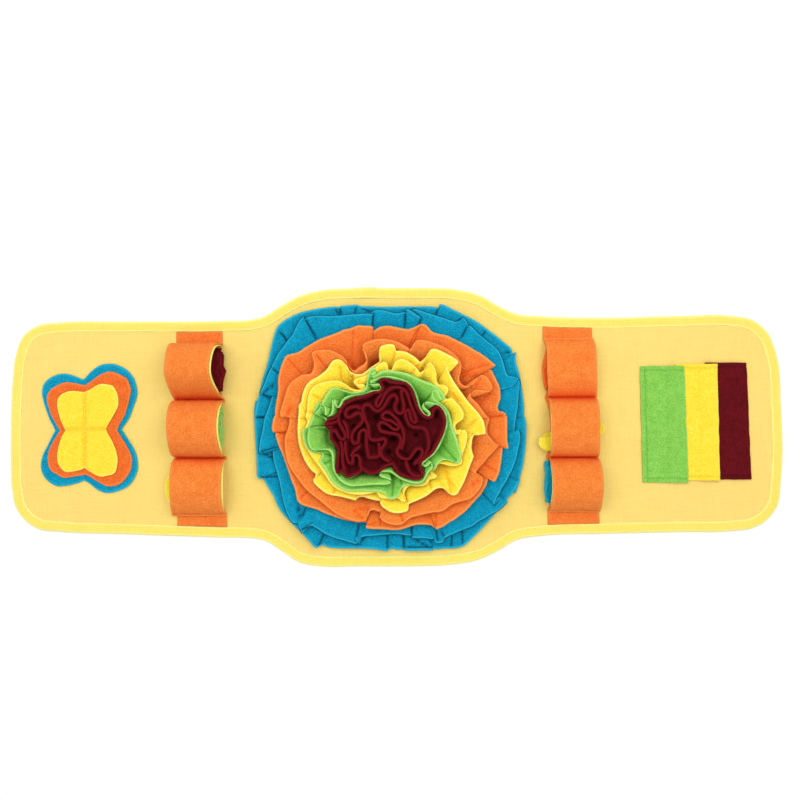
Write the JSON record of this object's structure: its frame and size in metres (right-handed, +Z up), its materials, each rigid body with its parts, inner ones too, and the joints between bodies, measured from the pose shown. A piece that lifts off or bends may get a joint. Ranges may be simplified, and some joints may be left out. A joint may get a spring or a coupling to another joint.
{
  "type": "snuffle mat",
  "caption": "Long cloth treat mat for pets: gathered fleece rosette in the middle, open strip loops holding folded cloth, and sewn patches on both wings.",
  "frame": {"origin": "middle of the mat's outline, on the floor it lies on", "axes": "+X along the mat towards the striped patch, +Y across it towards the binding's join, +Z up from the floor"},
  "size_m": [0.85, 0.308, 0.0573],
  "materials": {
    "cloth_apricot": "matt plain weave",
    "cloth_lemon": "matt woven tape",
    "cloth_blue": "matt short-pile fleece",
    "cloth_orange": "matt short-pile fleece",
    "cloth_ember": "matt short-pile fleece",
    "cloth_yellow": "matt short-pile fleece",
    "cloth_green": "matt short-pile fleece",
    "cloth_maroon": "matt short-pile fleece"
  },
  "bodies": {
    "root": {"base_panel": "cloth_apricot", "binding": "cloth_lemon", "ruffle_blue": "cloth_blue", "ruffle_orange": "cloth_orange", "ruffle_yellow": "cloth_yellow", "ruffle_green": "cloth_green", "ruffle_maroon": "cloth_maroon", "heart_maroon": "cloth_maroon", "left_strip_base": "cloth_orange", "right_strip_base": "cloth_orange", "left_loops": "cloth_orange", "right_loops": "cloth_orange", "left_loops_lining": "cloth_lemon", "right_loops_lining": "cloth_lemon", "wad_left_1": "cloth_maroon", "wad_left_2": "cloth_green", "wad_left_3": "cloth_yellow", "wad_right_1": "cloth_ember", "wad_right_2": "cloth_yellow", "wad_right_3": "cloth_blue", "butterfly_blue": "cloth_blue", "butterfly_orange": "cloth_orange", "butterfly_yellow": "cloth_yellow", "stripe_maroon": "cloth_maroon", "stripe_yellow": "cloth_yellow", "stripe_green": "cloth_green"}
  },
  "joints": []
}
